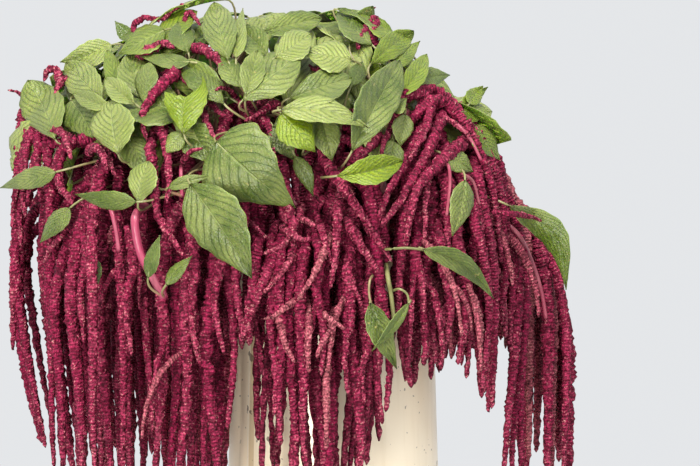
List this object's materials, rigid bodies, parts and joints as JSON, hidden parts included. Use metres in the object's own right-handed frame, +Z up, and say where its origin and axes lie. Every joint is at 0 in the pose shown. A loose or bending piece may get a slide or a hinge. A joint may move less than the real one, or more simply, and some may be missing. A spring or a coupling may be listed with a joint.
{
  "type": "bunch of hanging amaranth seed heads in a vase",
  "caption": "Cut stems of hanging amaranth with long drooping crimson seed tassels and broad leaves, standing in water in a tall cream vase.",
  "frame": {"origin": "centre of the vase's underside, on the surface it stands on", "axes": "+Z up; the arrangement's front, with the most leaves, faces -Y"},
  "size_m": [0.5738, 0.5243, 0.5642],
  "materials": {
    "stem_and_leaf": null,
    "seed_tassel": null,
    "vase_enamel": "satin cream enamel with a lap seam and small worn chips",
    "water": null
  },
  "bodies": {
    "root": {"leafy_stem_01": "stem_and_leaf", "leafy_stem_02": "stem_and_leaf", "leafy_stem_03": "stem_and_leaf", "leafy_stem_04": "stem_and_leaf", "leafy_stem_05": "stem_and_leaf", "leafy_stem_06": "stem_and_leaf", "leafy_stem_07": "stem_and_leaf", "leafy_stem_08": "stem_and_leaf", "leafy_stem_09": "stem_and_leaf", "leafy_stem_10": "stem_and_leaf", "leafy_stem_11": "stem_and_leaf", "leafy_stem_12": "stem_and_leaf", "seed_head_01": "seed_tassel", "seed_head_02": "seed_tassel", "seed_head_03": "seed_tassel", "seed_head_04": "seed_tassel", "seed_head_05": "seed_tassel", "seed_head_06": "seed_tassel", "seed_head_07": "seed_tassel", "seed_head_08": "seed_tassel", "seed_head_09": "seed_tassel", "seed_head_10": "seed_tassel", "seed_head_11": "seed_tassel", "seed_head_12": "seed_tassel", "vase": "vase_enamel", "water": "water"}
  },
  "joints": []
}
